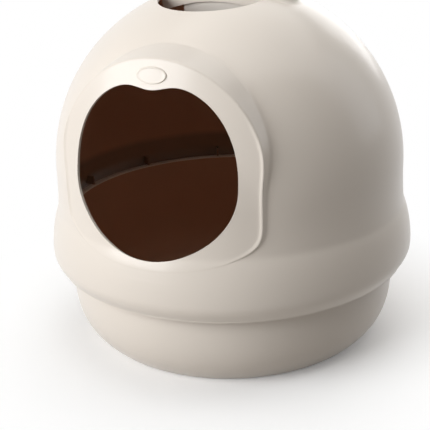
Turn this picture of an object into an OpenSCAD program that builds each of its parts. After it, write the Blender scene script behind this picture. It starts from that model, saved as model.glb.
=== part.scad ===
// Domed cat litter box: a round pan, a domed hood with a front entrance cowl
// and a bridging handle, and a filter tray with its pad under the handle.
// Entrance faces -Y, origin at the middle of the pan's underside, +Z up.

/* [Dome hood] */
// Outer radius of the dome
dome_r = 240; // [236:1:244]
// Height of the dome's centre above the floor
dome_centre_h = 242; // [238:1:246]
// Wall thickness of the hood
hood_wall = 3; // [2.6:0.1:3.4]
// Drop from the dome's centre to the crease above the skirt
crease_drop = 54; // [50:1:58]
// How far the crease stands out beyond the dome
crease_flare = 2.6; // [1.5:0.1:4]
// Drop from the crease to the skirt's widest line
skirt_drop = 58; // [54:1:62]
// How far the skirt stands out beyond the crease
skirt_flare = 11.4; // [9:0.2:14]
// Drop from the skirt's widest line to the hood's lower rim
tuck_drop = 24; // [22:1:28]
// How far the skirt tucks in again at the lower rim
tuck_in = 11.4; // [9:0.2:12]

/* [Entrance cowl] */
// Radius of the cowl's arch
arch_r = 142; // [138:1:146]
// Height of the arch's centre above the dome's centre
arch_rise = 35; // [31:1:39]
// Half width between the cowl's upright sides
arch_half_w = 136; // [132:1:138]
// How far the cowl's arch climbs toward the back, in degrees
arch_pitch = 9; // [6:0.5:12]
// How far the cowl's sides run down below the crease
cowl_drop = 8; // [6:1:9]
// How far the cowl's ridge lies inside the dome's radius at its top
ridge_inset = 40; // [36:1:44]
// How far the middle of the cowl's face lies inside the dome's radius
face_inset = 15; // [11:0.5:18]
// Radius of the front face seen from above
face_r = 373; // [360:1:400]
// Radius of the front face's lean-back seen from the side
face_lean_r = 504; // [480:4:560]
// Half width of the entrance
open_half_w = 110; // [104:1:114]
// Height of the entrance's widest line above the dome's centre
open_lift = 29; // [26:1:32]
// Rise of the entrance above its widest line
open_rise = 122; // [116:1:124]
// Depth of the entrance below its widest line
open_drop = 89; // [84:1:90]
// Squareness of the entrance's shoulders, 2 is an ellipse
open_power = 2.3; // [2:0.05:2.6]
// Depth of the dip under the oval badge
dip_depth = 9.5; // [4:0.5:12]
// Half width of that dip
dip_w = 27; // [22:1:32]
// Half width of the oval badge
badge_half_w = 20; // [16:0.5:22]
// Half height of the oval badge
badge_half_h = 9.5; // [7:0.5:10]
// Height of the badge's centre above the top of the entrance
badge_lift = 7; // [5:0.5:9]
// How far the badge stands proud
badge_proud = 1.8; // [1:0.1:3]

/* [Handle] */
// Radius of the two half-round hand windows
window_r = 75; // [72:1:78]
// Width of the handle that bridges the windows
handle_w = 58; // [56:1:62]
// Half length of the handle over its round ends
handle_half_l = 101; // [98:1:104]
// How far the handle's top stands above the dome
handle_rise = 6; // [4:0.5:8]
// Radius of the handle's crown along its length
crown_r = 320; // [300:5:340]
// Depth of the handle's side walls below the dome's surface
handle_d = 20; // [16:1:24]

/* [Filter] */
// Length of the filter tray
tray_l = 100; // [94:1:104]
// Overall height of the filter tray
tray_d = 33; // [28:1:36]
// Wall thickness of the filter tray
tray_wall = 2; // [1.6:0.1:2.4]
// Thickness of the carbon pad
pad_t = 12; // [8:1:16]
// Clearance around the tray in its socket
tray_clearance = 0.3; // [0.2:0.05:0.4]
// Clearance around the pad in the tray
pad_clearance = 0.3; // [0.2:0.05:0.4]

/* [Base pan] */
// Wall thickness of the pan
pan_wall = 3; // [2.6:0.1:3.4]
// How far the pan's rim stands above the hood's lower rim
pan_overlap = 68; // [64:1:70]
// Gap between the hood's lower rim and the pan's wall
pan_gap = 10.6; // [9.6:0.1:13]
// How far the pan's wall curves in from there to the foot
foot_in = 30; // [27:1:33]
// Radius of the foot's round
foot_round = 13.7; // [12:0.1:15]
// How late the wall curves inward on its way down
pan_power = 3.77; // [3:0.1:4.5]
// Clearance between the pan's flange and the hood's lower rim
lip_clearance = 2.6; // [1.6:0.1:3.6]
// Depth of the turned-down edge of the flange
lip_d = 10; // [8:1:12]

/* [Seat] */
// Width of each support rib inside the hood
rib_w = 3; // [2:0.5:4]
// Height of each support rib
rib_h = 13; // [10:1:14]
// How far each support rib reaches in over the pan's flange
rib_reach = 8; // [6:0.5:9]

/* [Hidden] */
$fn = 96;
eps = 0.5;
big = 2.5 * dome_r;
shell_colour = [0.88, 0.855, 0.815];
tray_colour = [0.80, 0.79, 0.78];
pad_colour = [0.09, 0.09, 0.10];
inner_r = dome_r - hood_wall;
crease_h = dome_centre_h - crease_drop;
skirt_h = crease_h - skirt_drop;
rim_h = skirt_h - tuck_drop;
crease_r = dome_r + crease_flare;
skirt_r = crease_r + skirt_flare;
rim_r = skirt_r - tuck_in;
pan_h = rim_h + pan_overlap;
pan_r = rim_r - hood_wall - pan_gap;
foot_r = pan_r - foot_in;
lip_r = rim_r - hood_wall - lip_clearance;
rib_r = lip_r - rib_reach;
arch_h = dome_centre_h + arch_rise;
face_y = dome_r - face_inset;
face_step = 0.064 * dome_r;
face_base_h = crease_h - cowl_drop;
ridge_y = dome_r - ridge_inset;
open_h = dome_centre_h + open_lift;
badge_h = open_h + open_rise + badge_lift;
prism_front = 0.37 * dome_r;
prism_back = 0.43 * dome_r;
steps = 12;

// outer profile of the hood below the dome, from the lower rim to the centre
function skirt_low(s) = [
  rim_r + (skirt_r - rim_r) * pow(sin(90 * s), 1.04),
  rim_h + (skirt_h - rim_h) * s
];
function skirt_up(s) = [
  crease_r + (skirt_r - crease_r) * pow(sin(90 * (1 - s)), 0.79),
  skirt_h + (crease_h - skirt_h) * s
];
function waist(s) = [
  dome_r + (crease_r - dome_r) * (1 - s) * (1 - s),
  crease_h + (dome_centre_h - crease_h) * s
];
lower_profile = concat(
  [for (i = [0 : steps]) skirt_low(i / steps)],
  [for (i = [1 : steps]) skirt_up(i / steps)],
  [for (i = [1 : 6]) waist(i / 6)]
);

// outer profile of the pan's wall from the foot to the rim
foot_turn = atan(pan_power * (pan_r - foot_r) / rim_h);
foot_h = foot_round * (1 - sin(foot_turn));
foot_flat = foot_r - foot_round * cos(foot_turn);
function foot_pt(t) = [
  foot_flat + foot_round * cos(t),
  foot_round - foot_round * sin(t)
];
function pan_pt(s) = [
  pan_r - (pan_r - foot_r) * pow(s, pan_power),
  rim_h - (rim_h - foot_h) * s
];
pan_profile = concat(
  [for (i = [0 : 5]) foot_pt(90 - (90 - foot_turn) * i / 6)],
  [for (i = [0 : 16]) pan_pt(1 - i / 16)],
  [[pan_r + 1, pan_h]]
);

// outline of the entrance, x across and y up from its widest line
function open_top(t) = [
  open_half_w * pow(cos(t), 2 / open_power),
  open_rise * pow(sin(t), 2 / open_power)
];
function dipped(p) = [p[0], p[1] - dip_depth * exp(-pow(p[0] / dip_w, 2))];
open_half = concat(
  [for (i = [0 : 22]) dipped(open_top(min(4 * i, 88)))],
  [dipped([dip_w / 3, open_rise]), dipped([0, open_rise])]
);
open_outline = concat(
  [for (p = open_half) p],
  [for (i = [len(open_half) - 2 : -1 : 0]) [-open_half[i][0], open_half[i][1]]],
  [for (i = [1 : 23]) [-open_half_w * cos(7.5 * i), -open_drop * sin(7.5 * i)]]
);

// lean-back profile of the cowl's front face about its own upright axis
face_axis_y = face_r - face_y;
function lean(h) = face_r - (h * h) / (2 * face_lean_r) + h * 0.033;
function face_profile(inset) = concat(
  [[0, face_base_h], [face_r - inset, face_base_h]],
  [for (i = [0 : 14]) [lean(i * face_step) - inset, dome_centre_h + i * face_step]],
  [[0, dome_centre_h + 14 * face_step]]
);

// handle socket and tray
socket_w = handle_w - 2 * hood_wall;
tray_w = socket_w - 2 * tray_clearance;
socket_l = tray_l + 2 * tray_clearance;
tray_drop = 8;
tray_top = dome_centre_h + inner_r - tray_drop;
crown_h = dome_centre_h + dome_r + handle_rise - crown_r;
handle_base_h = dome_centre_h + dome_r * 0.4;
handle_cut_h = dome_r * 0.8;
pad_l = tray_l - 2 * tray_wall - 2 * pad_clearance;
pad_w = tray_w - 2 * tray_wall - 2 * pad_clearance;
slot_w = 4;
slot_pitch = 10;
slot_margin = 8;
window_lap = 1;

module lower_body(inset) {
  rotate_extrude()
    polygon(concat(
      [[0, rim_h - (inset > 0 ? eps : 0)]],
      [[lower_profile[0][0] - inset, rim_h - (inset > 0 ? eps : 0)]],
      [for (i = [1 : len(lower_profile) - 1]) lower_profile[i] - [inset, 0]],
      [[0, dome_centre_h]]
    ));
}

module dome_body(inset) {
  intersection() {
    translate([0, 0, dome_centre_h]) sphere(r = dome_r - inset);
    translate([-big / 2, -big / 2, dome_centre_h]) cube([big, big, big]);
  }
  lower_body(inset);
}

// the cowl's arch as a prism that climbs from its front ridge back into the dome
module arch_prism(inset) {
  intersection() {
    translate([0, -ridge_y, arch_h]) rotate([arch_pitch, 0, 0]) {
      translate([0, prism_back, 0]) rotate([90, 0, 0])
        cylinder(r = arch_r - inset, h = prism_front + prism_back);
      translate([-arch_r, -prism_front, -arch_h])
        cube([2 * arch_r, prism_front + prism_back, arch_h]);
    }
    translate([-arch_half_w + inset, -big / 2, face_base_h + inset])
      cube([2 * (arch_half_w - inset), big / 2 - dome_r / 4, big]);
  }
}

module face_body(inset) {
  translate([0, face_axis_y, 0]) rotate_extrude($fn = 180) polygon(face_profile(inset));
}

module cowl_body(inset) {
  intersection() {
    arch_prism(inset);
    face_body(inset);
  }
}

module badge() {
  intersection() {
    translate([0, -dome_r * 0.75, badge_h]) rotate([90, 0, 0]) linear_extrude(height = dome_r / 4)
      polygon([for (a = [0 : 7.5 : 352.5]) [badge_half_w * cos(a), badge_half_h * sin(a)]]);
    face_body(-badge_proud);
  }
}

module entrance_cut() {
  translate([0, -dome_r / 2, open_h]) rotate([90, 0, 0]) linear_extrude(height = dome_r * 0.75)
    polygon(open_outline);
}

module window_cut() {
  for (s = [0, 180]) rotate([0, 0, s]) intersection() {
    translate([0, -handle_w / 2, handle_base_h]) cylinder(r = window_r, h = handle_cut_h);
    translate([-window_r - 1, -handle_w / 2 - window_r - 1, handle_base_h])
      cube([2 * window_r + 2, window_r + 1 + window_lap, handle_cut_h]);
  }
}

// the raised handle as a round-ended bar under a crowned top
module handle_bar(inset) {
  intersection() {
    translate([0, 0, crown_h]) sphere(r = crown_r - inset, $fn = 180);
    union() {
      for (s = [-1, 1])
        translate([s * (handle_half_l - handle_w / 2), 0, handle_base_h])
          cylinder(r = handle_w / 2 - inset, h = handle_cut_h);
      translate([-handle_half_l + handle_w / 2, -handle_w / 2 + inset, handle_base_h])
        cube([2 * handle_half_l - handle_w, handle_w - 2 * inset, handle_cut_h]);
    }
  }
}

// side walls of the hollow handle and the end walls of the tray's socket
module handle_walls() {
  difference() {
    intersection() {
      handle_zone();
      translate([0, 0, crown_h]) sphere(r = crown_r - 1, $fn = 180);
      union() {
        for (y = [-handle_w / 2, handle_w / 2 - hood_wall])
          translate([-window_r - 8, y, handle_base_h])
            cube([2 * window_r + 16, hood_wall, handle_cut_h]);
        for (x = [-socket_l / 2 - hood_wall, socket_l / 2])
          translate([x, -handle_w / 2 + 1, handle_base_h])
            cube([hood_wall, handle_w - 2, handle_cut_h]);
      }
    }
    translate([0, 0, dome_centre_h]) sphere(r = dome_r - handle_d);
  }
}

// ribs inside the hood that stand on the pan's rim, none behind the entrance
module seat_ribs() {
  intersection() {
    for (i = [2 : 10]) rotate([0, 0, -90 + 30 * i])
      translate([rib_r, -rib_w / 2, pan_h]) cube([skirt_r - rib_r, rib_w, rib_h]);
    lower_body(hood_wall - 1);
  }
}

// the hood is one moulding, kept as four nodes that meet face to face
module cowl_zone() {
  arch_prism(-hood_wall);
}

module handle_zone() {
  for (s = [-1, 1])
    translate([s * (handle_half_l - handle_w / 2), 0, handle_base_h])
      cylinder(r = handle_w / 2, h = handle_cut_h);
  translate([-handle_half_l + handle_w / 2, -handle_w / 2, handle_base_h])
    cube([2 * handle_half_l - handle_w, handle_w, handle_cut_h]);
}

module dome_shell() {
  color(shell_colour)
    difference() {
      dome_body(0);
      dome_body(hood_wall);
      translate([-big / 2, -big / 2, crease_h - big]) cube([big, big, big]);
      cowl_zone();
      handle_zone();
      window_cut();
    }
}

module hood_skirt() {
  color(shell_colour) {
    difference() {
      lower_body(0);
      lower_body(hood_wall);
      translate([-big / 2, -big / 2, crease_h]) cube([big, big, big]);
      cowl_zone();
    }
    seat_ribs();
  }
}

module entrance_cowl() {
  color(shell_colour)
    intersection() {
      cowl_zone();
      difference() {
        union() {
          dome_body(0);
          cowl_body(0);
          badge();
        }
        dome_body(hood_wall);
        cowl_body(hood_wall);
        entrance_cut();
      }
    }
}

module carry_handle() {
  color(shell_colour) {
    intersection() {
      handle_zone();
      difference() {
        union() {
          dome_body(0);
          handle_bar(0);
        }
        dome_body(hood_wall);
        handle_bar(hood_wall);
      }
    }
    handle_walls();
  }
}

module base_pan() {
  color(shell_colour) {
    difference() {
      rotate_extrude()
        polygon(concat([[0, 0]], pan_profile, [[0, pan_h]]));
      intersection() {
        translate([0, 0, pan_wall * 0.5])
          rotate_extrude()
            polygon(concat([[0, 0]], [for (p = pan_profile) p - [pan_wall, 0]], [[0, pan_h]]));
        translate([-big / 2, -big / 2, pan_wall]) cube([big, big, big]);
      }
    }
    difference() {
      translate([0, 0, pan_h - lip_d]) cylinder(r = lip_r, h = lip_d);
      translate([0, 0, pan_h - lip_d - eps]) cylinder(r = lip_r - pan_wall, h = lip_d + eps - pan_wall);
      translate([0, 0, pan_h - lip_d - eps]) cylinder(r = pan_r - 1, h = lip_d + 2 * eps);
    }
  }
}

module filter_tray() {
  color(tray_colour)
    difference() {
      translate([-tray_l / 2, -tray_w / 2, tray_top - tray_d]) cube([tray_l, tray_w, tray_d]);
      translate([-tray_l / 2 + tray_wall, -tray_w / 2 + tray_wall, tray_top - tray_d + tray_wall])
        cube([tray_l - 2 * tray_wall, tray_w - 2 * tray_wall, tray_d]);
      for (x = [-tray_l * 0.4 : slot_pitch : tray_l * 0.4])
        translate([x - slot_w / 2, -tray_w / 2 + slot_margin, tray_top - tray_d - eps])
          cube([slot_w, tray_w - 2 * slot_margin, tray_wall + 2 * eps]);
    }
}

module carbon_filter() {
  color(pad_colour)
    translate([-pad_l / 2, -pad_w / 2, tray_top - tray_d + tray_wall])
      cube([pad_l, pad_w, pad_t]);
}

base_pan();
hood_skirt();
dome_shell();
entrance_cowl();
carry_handle();
filter_tray();
carbon_filter();
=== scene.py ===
"""Domed cat litter box: a round pan, a domed hood with a front entrance cowl, and a
filter tray with its pad under the carrying handle. Entrance faces -Y, metres, +Z up."""

import math

import bmesh
import bpy
import numpy as np
from mathutils import Matrix, Vector, geometry


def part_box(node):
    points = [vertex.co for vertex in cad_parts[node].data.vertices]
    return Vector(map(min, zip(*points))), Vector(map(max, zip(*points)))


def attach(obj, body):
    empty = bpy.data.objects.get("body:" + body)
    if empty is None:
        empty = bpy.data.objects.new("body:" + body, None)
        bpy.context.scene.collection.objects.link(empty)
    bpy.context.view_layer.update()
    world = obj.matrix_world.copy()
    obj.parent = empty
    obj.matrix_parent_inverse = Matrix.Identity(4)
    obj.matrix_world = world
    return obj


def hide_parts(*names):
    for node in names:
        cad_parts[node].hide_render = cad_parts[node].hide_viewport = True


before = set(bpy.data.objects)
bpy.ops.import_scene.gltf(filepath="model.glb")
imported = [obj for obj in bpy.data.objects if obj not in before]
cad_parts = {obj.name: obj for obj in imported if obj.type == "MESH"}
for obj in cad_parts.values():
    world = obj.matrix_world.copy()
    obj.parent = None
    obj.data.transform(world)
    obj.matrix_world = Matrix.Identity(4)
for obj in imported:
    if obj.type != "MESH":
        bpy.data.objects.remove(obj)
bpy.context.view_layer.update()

# ------------------------------------------------------------------ sizes from the frame
skirt_lo, skirt_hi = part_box("hood_skirt")
pan_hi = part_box("base_pan")[1]
grip_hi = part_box("carry_handle")[1]
tray_lo, tray_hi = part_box("filter_tray")
pad_lo, pad_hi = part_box("carbon_filter")

DOME_R = 0.240
DOME_Z = 0.242
WALL = 0.003
RIM_Z = skirt_lo.z
CREASE_Z = skirt_hi.z
CREASE_FLARE = 0.0026
CREASE_R = DOME_R + CREASE_FLARE
SKIRT_R = skirt_hi.x
SKIRT_Z = 0.130
SKIRT_UPPER_POWER = 0.79
SKIRT_LOWER_POWER = 1.04
RIM_R = CREASE_R
RIM_BEAD = 0.0008
RIM_BEAD_H = 0.0010
RIM_BEAD_W = 0.0007
PROFILE_STEP = 0.0005
PROFILE_SOFT = 0.0028

# ------------------------------------------------------------------ entrance cowl
OPEN_Z = 0.271
OPEN_HALF_W = 0.110
OPEN_RISE = 0.122
OPEN_DROP = 0.089
OPEN_POWER = 2.3
DIP = 0.0095
DIP_W = 0.027
ARCH_R = 0.142
ARCH_Z = 0.277
ARCH_HALF_W = 0.136
ARCH_SIDE_END = 0.215
ARCH_BOTTOM = 0.172
ARCH_PITCH = math.radians(9)
ARCH_DRAFT = math.radians(0.3)
ARCH_LEAST = 0.0012
ARCH_SOFT_RAYS = 5
FACE_R = 0.373
FACE_AXIS_Y = FACE_R - 0.225
LEAN_R = 0.504
LEAN_SLOPE = 0.033
FACE_BLEND = 0.004
BEAD = 0.0021
BEAD_W = 0.003
BEAD_TOP_Z = 0.37
BEAD_TOP_FADE = 0.06
BEAD_END_H = 0.006
BEAD_END_FADE = 0.03
RIDGE_ROUND = 0.0022
ROOT_ROUND = 0.0030
BADGE_Z = 0.400
BADGE_HALF_W = 0.020
BADGE_HALF_H = 0.0095
BADGE_PROUD = 0.0018
BADGE_POINTS = 96
# share of the badge's outline, height over the face
BADGE_LEVELS = [
    (1.04, -0.0006), (1.02, 0.0004), (1.00, 0.0011), (0.98, 0.0016),
    (0.95, BADGE_PROUD), (0.90, BADGE_PROUD), (0.86, 0.0016), (0.82, 0.0014),
    (0.74, 0.0014), (0.60, 0.0015), (0.4, 0.0016), (0.2, 0.0017), (0.0, 0.0017),
]

# ------------------------------------------------------------------ handle and windows
WINDOW_R = 0.075
GRIP_HALF_W = grip_hi.y
GRIP_HALF_L = grip_hi.x
CROWN_R = 0.320
CROWN_Z = grip_hi.z - CROWN_R
GRIP_WALL_R = 0.220
GRIP_EDGE = 0.007
GRIP_FLARE = 0.009
GRIP_SINK = 0.004
FLARE_LEAST = 0.001
FLARE_END_DEG = 84
FLARE_FADE_DEG = 26

# ------------------------------------------------------------------ pan
PAN_R = 0.229
FOOT_R = 0.199
FOOT_ROUND = 0.0137
PAN_POWER = 3.77
PAN_TOP = pan_hi.z
LIP_R = 0.237
LIP_D = 0.010
LIP_ROUNDS = (0.0008, 0.0012, 0.0012, 0.0022, 0.0022)
PAN_RIM_RUN = 0.001

# ------------------------------------------------------------------ ribs and tray
RIB_W = 0.003
RIB_H = 0.013
RIB_REACH = 0.008
SLOT_W = 0.004
SLOT_PITCH = 0.010
SLOT_MARGIN = 0.008
SLOT_COUNT = 9
SLOTS_FROM = -0.8
TRAY_WALL = 0.0018
TRAY_ROUND = 0.004
PAD_SOFT = 0.0026
PAD_SLACK = 0.0003
RIB_GAP = 0.0002
RIB_TRIM = 0.0004
RIB_INSET = 0.0022

# ------------------------------------------------------------------ how fine the meshes are
RAYS = 480
RING_POINTS = 480
COARSE_PITCH, COARSE_GAP = 0.0065, 0.0035
FINE_PITCH, FINE_GAP = 0.0034, 0.0020


# ------------------------------------------------------------------ mesh helpers
def new_object(name, verts, faces, materials, face_material=None, smooth=True):
    """A mesh object from points in the frame."""
    mesh = bpy.data.meshes.new(name)
    mesh.from_pydata([tuple(map(float, v)) for v in verts], [], [list(map(int, f)) for f in faces])
    for m in materials:
        mesh.materials.append(m)
    if face_material is not None:
        mesh.polygons.foreach_set("material_index", np.asarray(face_material, np.int32))
    mesh.polygons.foreach_set("use_smooth", np.full(len(mesh.polygons), smooth))
    mesh.update()
    made = bpy.data.objects.new(name, mesh)
    bpy.context.scene.collection.objects.link(made)
    return made


def merge_doubles(piece):
    bm = bmesh.new()
    bm.from_mesh(piece.data)
    bmesh.ops.remove_doubles(bm, verts=bm.verts, dist=1e-5)
    bmesh.ops.dissolve_degenerate(bm, edges=bm.edges, dist=1e-6)
    bm.to_mesh(piece.data)
    bm.free()


def strip_faces(first, second, closed=True):
    """Quads between two rows of vertex numbers."""
    n = len(first)
    last = n if closed else n - 1
    return [(first[i], first[(i + 1) % n], second[(i + 1) % n], second[i]) for i in range(last)]


def row_faces(rows, n, start=0, closed=True):
    """Quads that join rows of n points each, numbered one row after the other from start."""
    faces = []
    for k in range(1, rows):
        row = np.arange(n) + start + k * n
        faces += strip_faces(row - n, row, closed)
    return faces


def face_outward(verts, faces, centre):
    """The faces, each turned to face away from the centre."""
    turned = []
    for f in faces:
        p = verts[list(f)]
        normal = np.cross(p[1] - p[0], p[2] - p[0]) + np.cross(p[2] - p[0], p[-1] - p[0])
        turned.append(f if normal @ (p.mean(0) - centre) > 0 else tuple(reversed(f)))
    return turned


def solidify(piece, thickness, inner=0):
    """A wall of this thickness inward; its inner side takes the material inner places on."""
    m = piece.modifiers.new("wall", "SOLIDIFY")
    m.thickness = thickness
    m.offset = -1
    m.use_even_offset = False
    m.use_quality_normals = True
    m.material_offset = inner


def round_edges(piece, width, segments=2, angle=50):
    m = piece.modifiers.new("edges", "BEVEL")
    m.width = width
    m.segments = segments
    m.limit_method = "ANGLE"
    m.angle_limit = math.radians(angle)
    n = piece.modifiers.new("normals", "WEIGHTED_NORMAL")
    n.keep_sharp = True


def rounded_path(points, radii, steps):
    """A polyline through the points with its corners rounded, as a list of (r, z)."""
    points = [np.array(p, float) for p in points]
    made = [points[0]]
    for before, corner, after, radius in zip(points, points[1:], points[2:], radii):
        back, on = before - corner, after - corner
        reach = min(radius, 0.49 * np.linalg.norm(back), 0.49 * np.linalg.norm(on))
        a = corner + back / np.linalg.norm(back) * reach
        b = corner + on / np.linalg.norm(on) * reach
        for t in np.arange(steps + 1) / steps:
            made.append((1 - t) ** 2 * a + 2 * t * (1 - t) * corner + t * t * b)
    made.append(points[-1])
    return made


def revolve(name, path, segments, materials, inner_from):
    """A closed body of revolution from an open path that starts and ends on the axis.

    From the path's point inner_from on, its faces take the second material.
    """
    turn = np.linspace(0, 2 * math.pi, segments, endpoint=False)
    verts = np.concatenate([
        np.column_stack([r * np.cos(turn), r * np.sin(turn), np.full(segments, z)])
        for r, z in np.array(path)
    ])
    second = np.repeat(np.arange(len(path) - 1) >= inner_from, segments)
    made = new_object(name, verts, row_faces(len(path), segments), materials, second)
    merge_doubles(made)
    return made


# ------------------------------------------------------------------ hood surface
def smoothstep(t):
    """A soft run from 0 to 1 while t goes from 0 to 1."""
    t = np.clip(t, 0, 1)
    return t * t * (3 - 2 * t)


def smooth_rows(values, sigma_steps):
    """The rows of values smoothed along their first axis, with the ends held."""
    half = int(4 * sigma_steps)
    weights = np.exp(-0.5 * (np.arange(-half, half + 1) / sigma_steps) ** 2)
    weights /= weights.sum()
    first = 2 * values[0] - values[half:0:-1]
    last = 2 * values[-1] - values[-2:-half - 2:-1]
    padded = np.concatenate([first, values, last])
    return np.column_stack([np.convolve(c, weights, "valid") for c in padded.T])


def hood_profile():
    """Outer profile of the hood from pole to lower rim: length along it, radius, height."""
    polar = np.linspace(0, math.pi / 2, 800)
    dome = np.column_stack([DOME_R * np.sin(polar), DOME_Z + DOME_R * np.cos(polar)])
    s = np.linspace(1, 0, 150)
    waist = np.column_stack([
        DOME_R + (CREASE_R - DOME_R) * (1 - s) ** 2,
        CREASE_Z + (DOME_Z - CREASE_Z) * s,
    ])
    skirt_up = np.column_stack([
        CREASE_R + (SKIRT_R - CREASE_R) * np.sin(np.pi / 2 * (1 - s)) ** SKIRT_UPPER_POWER,
        SKIRT_Z + (CREASE_Z - SKIRT_Z) * s,
    ])
    skirt_low = np.column_stack([
        RIM_R + (SKIRT_R - RIM_R) * np.sin(np.pi / 2 * s) ** SKIRT_LOWER_POWER,
        RIM_Z + (SKIRT_Z - RIM_Z) * s,
    ])
    path = np.concatenate([dome, waist[1:], skirt_up[1:], skirt_low[1:]])
    length = np.concatenate([[0], np.cumsum(np.linalg.norm(np.diff(path, axis=0), axis=1))])
    even = np.arange(0, length[-1], PROFILE_STEP)
    path = np.column_stack([np.interp(even, length, c) for c in path.T])
    body = smooth_rows(path, PROFILE_SOFT / PROFILE_STEP)
    body[0, 0] = 0
    return even, body[:, 0], body[:, 1]


prof_l, prof_r, prof_z = hood_profile()


def radius_at(z):
    return np.interp(-np.asarray(z), -prof_z, prof_r)


def length_at(z):
    return np.interp(-np.asarray(z), -prof_z, prof_l)


def hood_front(x, z):
    """Forward reach of the round hood at (x, z)."""
    return np.sqrt(np.maximum(radius_at(z) ** 2 - x * x, 1e-8))


def face_front(x, z):
    """Forward reach of the cowl's face at (x, z)."""
    h = np.maximum(z - DOME_Z, 0)
    lean = FACE_R - h * h / (2 * LEAN_R) + h * LEAN_SLOPE
    return np.sqrt(lean ** 2 - x * x) - FACE_AXIS_Y


def cowl_front(x, z):
    """Both, with a soft blend where they cross."""
    a, b = face_front(x, z), hood_front(x, z)
    return 0.5 * (a + b + np.sqrt((a - b) ** 2 + FACE_BLEND ** 2))


def outline_radius(x, z, angles):
    """Radius of a closed outline about the entrance's centre at the given angles."""
    up = z - OPEN_Z
    return np.interp(angles, np.arctan2(up, x), np.hypot(x, up), period=2 * math.pi)


def entrance_outline(angles):
    """Radius of the entrance: heart-topped above its widest level, half an ellipse below."""
    t = np.linspace(0, math.pi, 1200)
    top_x = OPEN_HALF_W * np.sign(np.cos(t)) * np.abs(np.cos(t)) ** (2 / OPEN_POWER)
    top_z = OPEN_RISE * np.sin(t) ** (2 / OPEN_POWER) - DIP * np.exp(-(top_x / DIP_W) ** 2)
    low_x = OPEN_HALF_W * np.cos(t)
    low_z = -OPEN_DROP * np.sin(t)
    x = np.concatenate([top_x, low_x[1:-1]])
    z = OPEN_Z + np.concatenate([top_z, low_z[1:-1]])
    return outline_radius(x, z, angles)


def arch_outline(angles):
    """Radius of the cowl's ridge: a round arch on upright sides, half an ellipse below."""
    t = np.linspace(0, math.pi, 1200)
    arc_x, arc_z = ARCH_R * np.cos(t), ARCH_Z + ARCH_R * np.sin(t)
    keep = np.abs(arc_x) < ARCH_HALF_W
    side_z = np.linspace(ARCH_Z, ARCH_SIDE_END, 60)
    side_x = np.full(60, ARCH_HALF_W)
    low = np.linspace(0, math.pi, 600)
    low_z = ARCH_SIDE_END - (ARCH_SIDE_END - ARCH_BOTTOM) * np.sin(low)
    x = np.concatenate([arc_x[keep], side_x, -side_x, ARCH_HALF_W * np.cos(low)])
    z = np.concatenate([arc_z[keep], side_z, side_z, low_z])
    rho = outline_radius(x, z, angles)
    half = 4 * ARCH_SOFT_RAYS
    ring = np.concatenate([rho[-half:], rho, rho[:half]])
    weights = np.exp(-0.5 * (np.arange(-half, half + 1) / ARCH_SOFT_RAYS) ** 2)
    return np.convolve(ring, weights / weights.sum(), "valid")


def on_front(x, z, reach):
    """Points at (x, z) on the front surface that reach gives."""
    return np.stack([x, -reach(x, z), z], axis=-1)


def bezier(a, b, c, steps):
    """Rows of a quadratic curve, without its first row."""
    t = (np.arange(1, steps + 1) / steps)[:, None, None]
    return (1 - t) ** 2 * a + 2 * t * (1 - t) * b + t * t * c


def cowl_rows():
    """Rows of points from the entrance's edge over face, ridge and shoulder to the dome."""
    turn = np.linspace(0, 2 * math.pi, RAYS, endpoint=False)
    ex, ez = np.cos(turn), np.sin(turn)
    open_r, arch_r = entrance_outline(turn), arch_outline(turn)
    x1, z1 = arch_r * ex, OPEN_Z + arch_r * ez
    proud = BEAD * smoothstep((BEAD_TOP_Z - z1) / BEAD_TOP_FADE)
    proud = proud * smoothstep((z1 - ARCH_BOTTOM - BEAD_END_H) / BEAD_END_FADE)

    def on_face(rho):
        """Points of the face; its edge stands a little proud down the cowl's sides."""
        row = on_front(rho * ex, OPEN_Z + rho * ez, cowl_front)
        row[:, 1] -= proud * np.exp(-((arch_r - rho) / BEAD_W) ** 2)
        return row

    shares = np.linspace(0, 1, 22) ** 0.8
    rows = [on_face(open_r + (arch_r - RIDGE_ROUND - open_r) * s) for s in shares]
    ridge = on_face(arch_r)
    drop = np.zeros(RAYS)
    for _ in range(12):
        out = ARCH_LEAST + drop * math.tan(ARCH_DRAFT)
        x2, z2 = x1 + out * ex, z1 + out * ez + drop * math.tan(ARCH_PITCH)
        drop = np.maximum(0.5 * drop + 0.5 * (-ridge[:, 1] - hood_front(x2, z2)), 0)
    root = on_front(x2, z2, hood_front)
    x3, z3 = x2 + ROOT_ROUND * ex, z2 + ROOT_ROUND * ez
    end = on_front(x3, z3, hood_front)
    ahead = on_front(x3 + 0.001 * ex, z3 + 0.001 * ez, hood_front) - end
    ahead /= np.linalg.norm(ahead, axis=1)[:, None]
    corner = end - ahead * np.linalg.norm(end - root, axis=1)[:, None]
    span = corner - ridge
    length = np.linalg.norm(span, axis=1)[:, None]
    top = ridge + span * np.minimum(RIDGE_ROUND / length, 0.4)
    low = corner - span * np.minimum(ROOT_ROUND / length, 0.5)
    rows += list(bezier(rows[-1], ridge, top, 5))
    rows += [top + (low - top) * t for t in (0.2, 0.4, 0.6, 0.8, 1.0)]
    rows += list(bezier(low, corner, end, 9))
    return rows


def inside(points, loop):
    """Whether each 2-D point lies inside the closed loop."""
    found = np.zeros(len(points), bool)
    x, y = points[:, 0], points[:, 1]
    for a, b in zip(loop, np.roll(loop, -1, axis=0)):
        crosses = (a[1] > y) != (b[1] > y)
        if a[1] != b[1]:
            found ^= crosses & (x < a[0] + (y - a[1]) * (b[0] - a[0]) / (b[1] - a[1]))
    return found


def between(points, loops, outer):
    """Whether each 2-D point lies inside the loop numbered outer and outside the others."""
    found = inside(points, loops[outer])
    for k, loop in enumerate(loops):
        if k != outer:
            found &= ~inside(points, loop)
    return found


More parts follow.
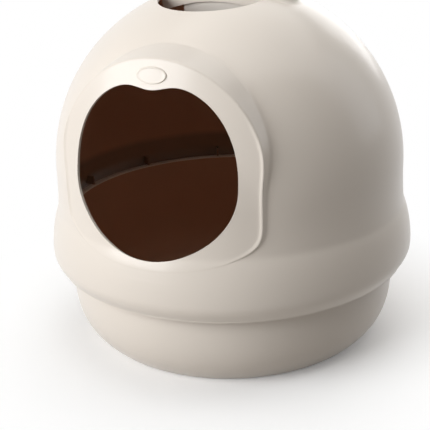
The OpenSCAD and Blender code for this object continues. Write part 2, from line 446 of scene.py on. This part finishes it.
def fill_between(loops, outer, inner=np.empty((0, 2))):
    """Triangles that fill the loop numbered outer round the others and over the inner points.

    Their corners count the loops' points in order, and then the inner points.
    """
    edges, start = [], 0
    for loop in loops:
        n = len(loop)
        edges += [(start + i, start + (i + 1) % n) for i in range(n)]
        start += n
    flat = [Vector(p) for p in np.concatenate(loops + [inner])]
    made = geometry.delaunay_2d_cdt(flat, edges, [], 0, 1e-7)
    points = np.array([tuple(p) for p in made[0]])
    triangles = np.array(made[2])
    source = np.array([first[0] for first in made[3]])
    return source[triangles[between(points[triangles].mean(1), loops, outer)]]


def to_chart(points):
    """The hood laid flat: distance from the pole along the surface, and the same azimuth."""
    ell = length_at(points[:, 2])
    around = np.arctan2(points[:, 1], points[:, 0])
    return np.column_stack([ell * np.cos(around), ell * np.sin(around)])


def from_chart(flat):
    """Points of the flat chart, back on the hood."""
    ell = np.hypot(flat[:, 0], flat[:, 1])
    around = np.arctan2(flat[:, 1], flat[:, 0])
    r, z = np.interp(ell, prof_l, prof_r), np.interp(ell, prof_l, prof_z)
    return np.column_stack([r * np.cos(around), r * np.sin(around), z])


def lattice(pitch):
    """Points in a triangular pattern over the whole chart."""
    reach = prof_l[-1]
    n = int(reach / pitch) + 1
    i, j = np.meshgrid(np.arange(-n, n + 1), np.arange(-n, n + 1))
    return np.column_stack([((i + 0.5 * (j % 2)) * pitch).ravel(), (j * pitch * 0.866).ravel()])


def clear_of(points, loops, distance):
    """The points that lie further than this from every loop, found part by part."""
    edge = np.concatenate(loops)
    keep = np.ones(len(points), bool)
    for k in range(0, len(points), 2000):
        part = points[k:k + 2000]
        gap = np.linalg.norm(part[:, None] - edge[None], axis=2).min(axis=1)
        keep[k:k + 2000] = gap > distance
    return points[keep]


def stadium(half_l, radius, per_arc, per_side):
    """A round-ended bar's outline along x, anticlockwise from the lower end of the right arc."""
    straight = half_l - radius
    arc = np.linspace(-math.pi / 2, math.pi / 2, per_arc, endpoint=False)
    side = np.linspace(straight, -straight, per_side, endpoint=False)
    right = np.column_stack([straight + radius * np.cos(arc), radius * np.sin(arc)])
    top = np.column_stack([side, np.full(per_side, radius)])
    return np.concatenate([right, top, -right, -top])


def dome_top(x, y, radius=DOME_R):
    """Height of the dome at (x, y)."""
    return DOME_Z + np.sqrt(np.maximum(radius ** 2 - x * x - y * y, 0))


def skirt_rows():
    """Rows of points from below the cowl and the crease down to the hood's beaded rim."""
    turn = np.linspace(0, 2 * math.pi, RING_POINTS, endpoint=False)
    off_front = np.degrees(np.abs((turn - 1.5 * math.pi + math.pi) % (2 * math.pi) - math.pi))
    upper, lowest = CREASE_Z + 0.012, 0.158
    edge_z = lowest + (upper - lowest) * smoothstep((off_front - 42) / 16)
    low_z = RIM_Z + 0.0045
    heights = [edge_z + (low_z - edge_z) * q for q in np.linspace(0, 1, 44) ** 1.15]
    heights += [np.full(RING_POINTS, RIM_Z + up) for up in np.linspace(0.0040, 0, 10)]
    rows = []
    for z in heights:
        r = radius_at(z) + RIM_BEAD * np.exp(-((z - RIM_Z - RIM_BEAD_H) / RIM_BEAD_W) ** 2)
        rows.append(np.column_stack([r * np.cos(turn), r * np.sin(turn), z]))
    return rows


def window_outline():
    """The edge of the hole that the handle bridges, round-ended from front to back."""
    flat = stadium(GRIP_HALF_W + WINDOW_R, WINDOW_R, 70, 20)[:, ::-1] * [-1, 1]
    return np.column_stack([flat, dome_top(*flat.T)])


def hood_sheet():
    """Outer surface of the hood as points and faces."""
    cowl, skirt, window = cowl_rows(), skirt_rows(), window_outline()
    skirt_start = len(cowl) * RAYS
    window_start = skirt_start + len(skirt) * RING_POINTS
    faces = row_faces(len(cowl), RAYS) + row_faces(len(skirt), RING_POINTS, skirt_start)

    loops = [to_chart(cowl[-1]), to_chart(skirt[0]), to_chart(window)]
    coarse, fine = lattice(COARSE_PITCH), lattice(FINE_PITCH)
    near_crease = length_at(CREASE_Z + 0.022)
    coarse = clear_of(coarse[np.hypot(*coarse.T) < near_crease], loops, COARSE_GAP)
    fine = clear_of(fine[np.hypot(*fine.T) >= near_crease], loops, FINE_GAP)
    inner = np.concatenate([coarse, fine])
    inner = inner[between(inner, loops, 1)]
    number = np.concatenate([
        np.arange(skirt_start - RAYS, skirt_start),
        np.arange(skirt_start, skirt_start + RING_POINTS),
        np.arange(window_start, window_start + len(window) + len(inner)),
    ])
    faces += [tuple(f) for f in number[fill_between(loops, 1, inner)]]
    verts = np.concatenate([*cowl, *skirt, window, from_chart(inner)])
    return verts, face_outward(verts, faces, np.array([0, 0, DOME_Z - 0.03]))


# ------------------------------------------------------------------ materials
def srgb(r, g, b):
    """A colour written as 8-bit display values, as scene-linear."""
    def linear(c):
        c /= 255
        return c / 12.92 if c <= 0.04045 else ((c + 0.055) / 1.055) ** 2.4
    return (linear(r), linear(g), linear(b), 1)


class Nodes:
    """Short helpers round one material's node tree."""

    def __init__(self, name):
        self.material = bpy.data.materials.new(name)
        self.material.use_nodes = True
        self.tree = self.material.node_tree
        self.shader = self.tree.nodes["Principled BSDF"]
        self.space = self.add("ShaderNodeTexCoord").outputs["Object"]

    def add(self, kind, **values):
        node = self.tree.nodes.new(kind)
        for k, v in values.items():
            setattr(node, k, v)
        return node

    def link(self, a, b):
        self.tree.links.new(a, b)

    def noise(self, scale, detail):
        node = self.add("ShaderNodeTexNoise")
        node.inputs["Scale"].default_value = scale
        node.inputs["Detail"].default_value = detail
        self.link(self.space, node.inputs["Vector"])
        return node.outputs["Fac"]

    def spread(self, value, low, high, out_low, out_high):
        node = self.add("ShaderNodeMapRange")
        node.inputs["From Min"].default_value = low
        node.inputs["From Max"].default_value = high
        node.inputs["To Min"].default_value = out_low
        node.inputs["To Max"].default_value = out_high
        self.link(value, node.inputs["Value"])
        return node.outputs["Result"]

    def blend(self, fac, a, b):
        node = self.add("ShaderNodeMix", data_type="RGBA")
        self.link(fac, node.inputs["Factor"])
        ins = [i for i in node.inputs if i.type == "RGBA"]
        for socket, value in zip(ins, (a, b)):
            if isinstance(value, tuple):
                socket.default_value = value
            else:
                self.link(value, socket)
        return [o for o in node.outputs if o.type == "RGBA"][0]

    def bump(self, height, strength, distance, normal=None):
        node = self.add("ShaderNodeBump")
        node.inputs["Strength"].default_value = strength
        node.inputs["Distance"].default_value = distance
        self.link(height, node.inputs["Height"])
        if normal:
            self.link(normal, node.inputs["Normal"])
        return node.outputs["Normal"]


def moulded(name, base, shade, roughness, coat=0.0, peel=0.12, mottle=7.0, painted_shade_band=None):
    """Injection-moulded plastic: faint mottling, uneven gloss and a fine orange-peel surface; if a
    band is given, a darker band of painted shade between two heights.
    """
    m = Nodes(name)
    cloud = m.noise(mottle, 3.0)
    colour = m.blend(cloud, base, shade)
    # Painted shade: a darker band between two heights, standing in for the shade in the skirt's
    # hollow inside the hood.
    if painted_shade_band:
        low, high, tone = painted_shade_band
        height = m.add("ShaderNodeSeparateXYZ")
        m.link(m.space, height.inputs["Vector"])
        under = m.spread(height.outputs["Z"], low, low + 0.010, 0.0, 1.0)
        over = m.spread(height.outputs["Z"], high, high + 0.010, 1.0, 0.0)
        both = m.add("ShaderNodeMath", operation="MULTIPLY")
        m.link(under, both.inputs[0])
        m.link(over, both.inputs[1])
        colour = m.blend(both.outputs[0], colour, tone)
    m.link(colour, m.shader.inputs["Base Color"])
    m.link(m.spread(m.noise(mottle * 3, 2.0), 0.0, 1.0, roughness * 0.92, roughness * 1.08),
           m.shader.inputs["Roughness"])
    fine = m.bump(m.noise(900, 2.0), peel, 0.0001)
    wave = m.bump(m.noise(16, 1.0), 0.5 * peel, 0.0006, fine)
    m.link(wave, m.shader.inputs["Normal"])
    m.shader.inputs["IOR"].default_value = 1.45
    m.shader.inputs["Coat Weight"].default_value = coat
    m.shader.inputs["Coat Roughness"].default_value = 0.1
    return m.material


def foam(name):
    m = Nodes(name)
    cells = m.add("ShaderNodeTexVoronoi", feature="F1")
    cells.inputs["Scale"].default_value = 420
    m.link(m.space, cells.inputs["Vector"])
    pores = m.spread(cells.outputs["Distance"], 0.1, 0.6, 0.0, 1.0)
    m.link(m.blend(pores, srgb(9, 9, 10), srgb(40, 40, 42)), m.shader.inputs["Base Color"])
    m.link(m.bump(pores, 0.8, 0.0008), m.shader.inputs["Normal"])
    m.shader.inputs["Roughness"].default_value = 0.95
    return m.material


shell_out = moulded("pearl_shell", srgb(232, 222, 211), srgb(226, 217, 206), 0.31, coat=0.14)
# Painted shade: the hood's and ribs' insides are the same plastic as the outside, coloured warm
# brown to stand in for the low light inside the hood.
shell_in_painted_shade = moulded("hood_lining_painted_shade", srgb(192, 150, 121), srgb(186, 145, 117), 0.42,
                   painted_shade_band=(0.162, 0.208, srgb(146, 119, 97)))
# Painted shade: the pan's inside is the same plastic as its outside, coloured warm brown to stand
# in for the low light under the hood.
pan_in_painted_shade = moulded("pan_lining_painted_shade", srgb(196, 154, 124), srgb(190, 149, 120), 0.42)
tray_plastic = moulded("pale_tray", srgb(228, 221, 212), srgb(221, 214, 205), 0.4)
pad_foam = foam("carbon_foam")


# ------------------------------------------------------------------ hood
def build_hood():
    verts, faces = hood_sheet()
    made = new_object("hood_moulding", verts, faces, [shell_out, shell_in_painted_shade])
    solidify(made, WALL, inner=1)
    round_edges(made, 0.001)
    return made


hood = build_hood()
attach(hood, "hood")
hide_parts("hood_skirt", "dome_shell", "entrance_cowl")


# ------------------------------------------------------------------ badge
def build_badge():
    """Blank oval badge with a soft raised border on the cowl's face."""
    turn = np.linspace(0, 2 * math.pi, BADGE_POINTS, endpoint=False)
    verts = []
    for share, lift in BADGE_LEVELS:
        x = share * BADGE_HALF_W * np.cos(turn)
        z = BADGE_Z + share * BADGE_HALF_H * np.sin(turn)
        verts.append(np.column_stack([x, -cowl_front(x, z) - lift, z]))
    faces = row_faces(len(BADGE_LEVELS), BADGE_POINTS)
    verts = np.concatenate(verts)
    faces = face_outward(verts, faces, np.array([0, 0, BADGE_Z]))
    made = new_object("oval_badge", verts, faces, [shell_out])
    merge_doubles(made)
    return made


badge = build_badge()
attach(badge, "hood")


# ------------------------------------------------------------------ handle
def build_grip():
    """The handle's round-ended bar: crowned top, rounded edge, sides down to the dome."""
    edge = stadium(GRIP_HALF_L, GRIP_HALF_W, 60, 60)
    n = len(edge)
    straight = GRIP_HALF_L - GRIP_HALF_W
    centre = np.column_stack([np.clip(edge[:, 0], -straight, straight), np.zeros(n)])
    out = (edge - centre) / GRIP_HALF_W

    def crown(p):
        return CROWN_Z + np.sqrt(CROWN_R ** 2 - (p ** 2).sum(1))

    rows = []
    for inset in np.linspace(GRIP_HALF_W, GRIP_EDGE, 9):
        p = edge - out * inset
        rows.append(np.column_stack([p, crown(p)]))
    for t in np.linspace(0, math.pi / 2, 9)[1:]:
        p = edge - out * GRIP_EDGE * (1 - math.sin(t))
        q = edge - out * GRIP_EDGE
        rows.append(np.column_stack([p, crown(q) - GRIP_EDGE * (1 - math.cos(t))]))
    top = rows[-1][:, 2]
    over_window = np.abs(edge[:, 0]) < WINDOW_R + 0.004
    bottom = np.where(over_window, dome_top(*edge.T, GRIP_WALL_R), dome_top(*edge.T) - GRIP_SINK)
    for t in np.linspace(0, 1, 9)[1:]:
        rows.append(np.column_stack([edge, top + (bottom - top) * t]))
    verts = np.concatenate(rows)
    faces = face_outward(verts, row_faces(len(rows), n), np.array([0, 0, DOME_Z]))
    made = new_object("carry_handle_bar", verts, faces, [shell_out, shell_in_painted_shade])
    merge_doubles(made)
    solidify(made, WALL)
    round_edges(made, 0.0008)
    return made


def build_flares():
    """Concave sweeps where the handle's round ends run out onto the dome."""
    pieces = []
    n, steps = 49, 9
    straight = GRIP_HALF_L - GRIP_HALF_W
    for side, name in ((1, "handle_root_right"), (-1, "handle_root_left")):
        turn = np.linspace(-math.radians(FLARE_END_DEG), math.radians(FLARE_END_DEG), n)
        fade = smoothstep((FLARE_END_DEG - np.degrees(np.abs(turn))) / FLARE_FADE_DEG)
        size = FLARE_LEAST + GRIP_FLARE * fade
        ox, oy = side * np.cos(turn), np.sin(turn)
        x0, y0 = side * straight + GRIP_HALF_W * ox, GRIP_HALF_W * oy
        x1, y1 = x0 + size * ox, y0 + size * oy
        base, end = dome_top(x0, y0), dome_top(x1, y1)
        slope = (end - base) / size
        wall = np.column_stack([x0 - 0.0003 * ox, y0 - 0.0003 * oy, base + size * 0.8])
        corner = np.column_stack([x0, y0, end - slope * size])
        out = np.column_stack([x1, y1, end - 0.0001])
        rows = [wall] + list(bezier(wall, corner, out, steps))
        verts = np.concatenate(rows)
        faces = row_faces(len(rows), n, closed=False)
        faces = face_outward(verts, faces, np.array([0, 0, DOME_Z]))
        pieces.append(new_object(name, verts, faces, [shell_out]))
    return pieces


grip = build_grip()
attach(grip, "hood")
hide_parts("carry_handle")
for flare in build_flares():
    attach(flare, "hood")


# ------------------------------------------------------------------ pan
def build_pan():
    """The pan as one closed turned body: foot, wall, flanged rim, inner wall and floor."""
    turn_at_foot = math.atan(PAN_POWER * (PAN_R - FOOT_R) / RIM_Z)
    foot_flat = FOOT_R - FOOT_ROUND * math.cos(turn_at_foot)
    foot_h = FOOT_ROUND * (1 - math.sin(turn_at_foot))

    def wall_r(z):
        s = np.clip((RIM_Z - z) / (RIM_Z - foot_h), 0, 1)
        flat = PAN_R - (PAN_R - FOOT_R) * s ** PAN_POWER
        return float(flat + PAN_RIM_RUN * np.clip((z - RIM_Z) / (PAN_TOP - RIM_Z), 0, 1))

    def round_at(radius, turns):
        return [(foot_flat + radius * math.cos(t), FOOT_ROUND - radius * math.sin(t))
                for t in turns]

    foot = round_at(FOOT_ROUND, np.linspace(math.pi / 2, turn_at_foot, 12))
    wall = [(wall_r(z), z) for z in np.linspace(foot_h, PAN_TOP - WALL, 40)[1:]]
    neck = wall_r(PAN_TOP) - WALL
    flange = rounded_path([
        wall[-1], (LIP_R - WALL, PAN_TOP - WALL), (LIP_R - WALL, PAN_TOP - LIP_D),
        (LIP_R, PAN_TOP - LIP_D), (LIP_R, PAN_TOP), (neck, PAN_TOP), (neck, PAN_TOP - 0.01),
    ], LIP_ROUNDS, steps=4)
    heights = np.linspace(PAN_TOP - 0.012, foot_h + 0.012, 36)
    inner_wall = [(wall_r(z) - WALL, z) for z in heights]
    floor_round = round_at(FOOT_ROUND - WALL, np.linspace(turn_at_foot, math.pi / 2, 12))
    outside = [(0, 0)] + foot + wall + flange[1:]
    path = outside + inner_wall + floor_round + [(0.1, WALL), (0, WALL)]
    return revolve("litter_pan", path, 240, [shell_out, pan_in_painted_shade], len(outside) - 2)


pan = build_pan()
round_edges(pan, 0.0004, angle=70)
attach(pan, "pan")
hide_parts("base_pan")


# ------------------------------------------------------------------ tray and pad
def rounded_box(half_l, half_w, radius, per_corner=7, per_side=8):
    """A rounded rectangle's outline, anticlockwise."""
    made = []
    arc = np.linspace(0, math.pi / 2, per_corner, endpoint=False)
    for k in range(4):
        sx, sy = (1, -1, -1, 1)[k], (1, 1, -1, -1)[k]
        turned = arc + k * math.pi / 2
        corner = np.array([sx * (half_l - radius), sy * (half_w - radius)])
        bend = corner + radius * np.column_stack([np.cos(turned), np.sin(turned)])
        end = turned[-1] + arc[1]
        last = corner + radius * np.array([math.cos(end), math.sin(end)])
        nx, ny = (-1, -1, 1, 1)[k], (1, -1, -1, 1)[k]
        following = np.array([nx * (half_l - radius), ny * (half_w - radius)])
        following = following + radius * np.array([math.cos(end), math.sin(end)])
        side = last + (following - last) * np.linspace(0, 1, per_side, endpoint=False)[:, None]
        made += [bend, side]
    return np.concatenate(made)


def build_tray():
    """Open pale tray with a beaded top edge and slots through its floor."""
    half_l, half_w = tray_hi.x, tray_hi.y
    base, top = tray_lo.z, tray_hi.z
    deep = top - base
    levels = [
        (0.0028, 0.0), (0.0016, 0.0003), (0.0009, 0.0010), (0.0006, 0.0022),
        (0.0004, 0.5 * deep), (0.0004, deep - 0.0030), (0.0, deep - 0.0024), (0.0, deep),
    ]
    loops = [rounded_box(half_l - i, half_w - i, TRAY_ROUND - 0.6 * i) for i, _ in levels]
    n = len(loops[0])
    verts = [np.column_stack([loop, np.full(n, base + h)]) for loop, (_, h) in zip(loops, levels)]
    faces = row_faces(len(levels), n)
    slot = stadium(half_w - SLOT_MARGIN, SLOT_W / 2, 8, 4)[:, ::-1] * [-1, 1]
    slots = [slot + [SLOTS_FROM * half_l + SLOT_PITCH * k, 0] for k in range(SLOT_COUNT)]
    cut = np.concatenate(slots)
    number = np.concatenate([np.arange(n), np.arange(len(cut)) + n * len(levels)])
    faces += [tuple(f) for f in number[fill_between([loops[0]] + slots, 0)]]
    verts.append(np.column_stack([cut, np.full(len(cut), base)]))
    verts = np.concatenate(verts)
    faces = face_outward(verts, faces, np.array([0, 0, 0.5 * (base + top)]))
    tray = new_object("filter_tray_shell", verts, faces, [tray_plastic])
    solidify(tray, TRAY_WALL)
    round_edges(tray, 0.0003)
    return tray


def build_pad():
    """Foam pad with soft edges and faces that are never quite flat."""
    centre = 0.5 * (np.array(pad_lo) + np.array(pad_hi))
    half = 0.5 * (np.array(pad_hi) - np.array(pad_lo)) - PAD_SLACK
    counts = (60, 30, 10)
    verts, faces, seen = [], [], {}

    def number(p):
        key = tuple(np.round(p, 6))
        if key not in seen:
            seen[key] = len(verts)
            verts.append(p)
        return seen[key]

    for axis in range(3):
        u, v = (axis + 1) % 3, (axis + 2) % 3
        for side in (-1, 1):
            grid = {}
            for i in range(counts[u] + 1):
                for j in range(counts[v] + 1):
                    p = np.zeros(3)
                    p[axis] = side * half[axis]
                    p[u] = half[u] * (2 * i / counts[u] - 1)
                    p[v] = half[v] * (2 * j / counts[v] - 1)
                    grid[i, j] = number(p)
            for i in range(counts[u]):
                for j in range(counts[v]):
                    faces.append((grid[i, j], grid[i + 1, j], grid[i + 1, j + 1], grid[i, j + 1]))
    p = np.array(verts)
    core = np.clip(p, PAD_SOFT - half, half - PAD_SOFT)
    out = p - core
    reach = np.maximum(np.linalg.norm(out, axis=1), 1e-9)
    p = core + out * np.minimum(1, PAD_SOFT / reach)[:, None]
    x, y = p[:, 0], p[:, 1]
    waves = np.sin(95 * x + 0.7) * np.cos(140 * y + 0.3) + 0.5 * np.sin(260 * x - 170 * y)
    upper = p[:, 2] > 0.5 * half[2]
    p[upper, 2] += (0.00045 * waves - 0.0007)[upper]
    p[:, :2] *= 1 - 0.006 * (1 - (p[:, 2:3] / half[2]) ** 2)
    verts = p + centre
    return new_object("foam_pad", verts, face_outward(verts, faces, centre), [pad_foam])


tray = build_tray()
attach(tray, "tray")
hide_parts("filter_tray")
pad = build_pad()
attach(pad, "tray")
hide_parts("carbon_filter")


# ------------------------------------------------------------------ ribs
def rib_block(name, outline, thick, turn):
    """An upright rib from its (radius, height) outline, turned to its place."""
    n = len(outline)
    across = np.array([math.cos(turn), math.sin(turn)])
    aside = np.array([-math.sin(turn), math.cos(turn)])
    verts = []
    for half in (-0.5 * thick, 0.5 * thick):
        for r, z in outline:
            verts.append([*(across * r + aside * half), z])
    faces = [tuple(range(n)), tuple(range(n, 2 * n))]
    faces += strip_faces(np.arange(n), np.arange(n) + n)
    verts = np.array(verts)
    faces = face_outward(verts, faces, verts.mean(0))
    made = new_object(name, verts, faces, [shell_in_painted_shade], smooth=False)
    round_edges(made, 0.0005, segments=3, angle=30)
    return made


def build_ribs():
    """Ribs inside the skirt that seat on the pan's rim."""
    reach = LIP_R - RIB_REACH + RIB_TRIM
    made = []
    for k in range(2, 11):
        heights = np.linspace(PAN_TOP + RIB_GAP, PAN_TOP + RIB_H, 6)
        outer = [(float(radius_at(z)) - RIB_INSET, z) for z in heights]
        outline = [(reach, heights[0]), *outer, (reach, heights[-1])]
        made.append(rib_block(f"seat_rib_{k - 1}", outline, RIB_W, math.radians(-90 + 30 * k)))
    return made


for rib in build_ribs():
    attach(rib, "hood")

# ------------------------------------------------------------------ floor, world, lamps, camera
def background_ray(tree):
    """1 where a view, a reflection or a glass shows the background, 0 for light on the object."""
    path = tree.nodes.new("ShaderNodeLightPath")
    seen = path.outputs["Is Camera Ray"]
    for kind in ("Is Glossy Ray", "Is Transmission Ray"):
        either = tree.nodes.new("ShaderNodeMath")
        either.operation = "MAXIMUM"
        tree.links.new(seen, either.inputs[0])
        tree.links.new(path.outputs[kind], either.inputs[1])
        seen = either.outputs[0]
    return seen


def floor_material(name, seen_base, base, lift):
    """White floor that keeps the object's shadow and runs out to plain white far from it."""
    material = bpy.data.materials.new(name)
    material.use_nodes = True
    tree = material.node_tree
    tree.nodes.clear()

    def add(kind, **values):
        node = tree.nodes.new(kind)
        for k, v in values.items():
            setattr(node, k, v)
        return node

    def diffuse(tone, warmth=0.0):
        node = add("ShaderNodeBsdfDiffuse")
        colour = (tone, tone * (1 - 0.5 * warmth), tone * (1 - warmth), 1)
        node.inputs["Color"].default_value = colour
        return node.outputs[0]

    def glow(strength):
        node = add("ShaderNodeEmission")
        node.inputs["Strength"].default_value = strength
        return node.outputs[0]

    near = add("ShaderNodeAddShader")
    tree.links.new(diffuse(seen_base), near.inputs[0])
    tree.links.new(glow(lift), near.inputs[1])
    place = add("ShaderNodeTexCoord")
    away = add("ShaderNodeVectorMath", operation="LENGTH")
    tree.links.new(place.outputs["Object"], away.inputs[0])
    far = add("ShaderNodeMapRange", interpolation_type="SMOOTHSTEP")
    far.inputs["From Min"].default_value = 0.21
    far.inputs["From Max"].default_value = 0.46
    tree.links.new(away.outputs["Value"], far.inputs["Value"])
    shown = add("ShaderNodeMixShader")
    tree.links.new(far.outputs["Result"], shown.inputs[0])
    tree.links.new(near.outputs[0], shown.inputs[1])
    tree.links.new(glow(1.0), shown.inputs[2])
    mix = add("ShaderNodeMixShader")
    tree.links.new(background_ray(tree), mix.inputs[0])
    tree.links.new(diffuse(base, 0.12), mix.inputs[1])
    tree.links.new(shown.outputs[0], mix.inputs[2])
    output = add("ShaderNodeOutputMaterial")
    tree.links.new(mix.outputs[0], output.inputs["Surface"])
    return material


def build_floor():
    half = 30.0
    verts = [(-half, -half, 0), (half, -half, 0), (half, half, 0), (-half, half, 0)]
    white = floor_material("studio_white", seen_base=0.97, base=0.46, lift=0.15)
    made = new_object("studio_floor", verts, [(0, 1, 2, 3)], [white])
    made.location.z = -0.0002


def build_world(ambient, tone):
    world = bpy.data.worlds.new("studio")
    bpy.context.scene.world = world
    world.use_nodes = True
    tree = world.node_tree
    tree.nodes.clear()
    soft = tree.nodes.new("ShaderNodeBackground")
    soft.inputs["Strength"].default_value = ambient
    white = tree.nodes.new("ShaderNodeBackground")
    white.inputs["Strength"].default_value = 1.0
    soft.inputs["Color"].default_value = (*tone, 1)
    white.inputs["Color"].default_value = (1, 1, 1, 1)
    mix = tree.nodes.new("ShaderNodeMixShader")
    tree.links.new(background_ray(tree), mix.inputs[0])
    tree.links.new(soft.outputs[0], mix.inputs[1])
    tree.links.new(white.outputs[0], mix.inputs[2])
    output = tree.nodes.new("ShaderNodeOutputWorld")
    tree.links.new(mix.outputs[0], output.inputs["Surface"])


def softbox(name, place, aim, width, height, watts, colour=(1, 1, 1)):
    data = bpy.data.lights.new(name, "AREA")
    data.shape = "RECTANGLE"
    data.size, data.size_y = width, height
    data.energy = watts
    data.color = colour
    lamp = bpy.data.objects.new(name, data)
    bpy.context.scene.collection.objects.link(lamp)
    lamp.location = place
    lamp.rotation_mode = "QUATERNION"
    lamp.rotation_quaternion = (Vector(aim) - Vector(place)).to_track_quat("-Z", "Y")


def build_camera():
    turn, dip, roll = 0.45854, 0.36071, -0.0344
    level = Vector((-math.sin(turn), math.cos(turn), 0))
    forward = level * math.cos(dip) - Vector((0, 0, math.sin(dip)))
    right = forward.cross(Vector((0, 0, 1))).normalized()
    up = right.cross(forward)
    across = right * math.cos(roll) + up * math.sin(roll)
    upright = up * math.cos(roll) - right * math.sin(roll)
    data = bpy.data.cameras.new("camera")
    data.sensor_width = 36
    data.lens = 76.43
    data.clip_end = 100
    cam = bpy.data.objects.new("camera", data)
    bpy.context.scene.collection.objects.link(cam)
    cam.location = (0.52363, -1.11232, 0.61892)
    cam.rotation_mode = "QUATERNION"
    rows = np.array([across, upright, -forward]).T
    cam.rotation_quaternion = Matrix(rows.tolist()).to_quaternion()
    bpy.context.scene.camera = cam


build_floor()
build_world(0.035, (1.0, 0.93, 0.85))
AIM = (0, 0, 0.22)
softbox("key_left", (-1.28, -2.08, 1.18), AIM, 1.9, 1.8, 66, (0.97, 0.985, 1.0))
softbox("top_soft", (0.30, 0.50, 2.40), AIM, 2.6, 2.6, 34, (1.0, 0.98, 0.95))
softbox("back_soft", (-0.21, 2.43, 1.11), AIM, 2.0, 1.4, 17)
softbox("side_sheen", (1.85, 1.40, 1.20), AIM, 1.2, 1.8, 7, (0.92, 0.95, 1.0))
build_camera()

scene = bpy.context.scene
scene.view_settings.view_transform = "Standard"
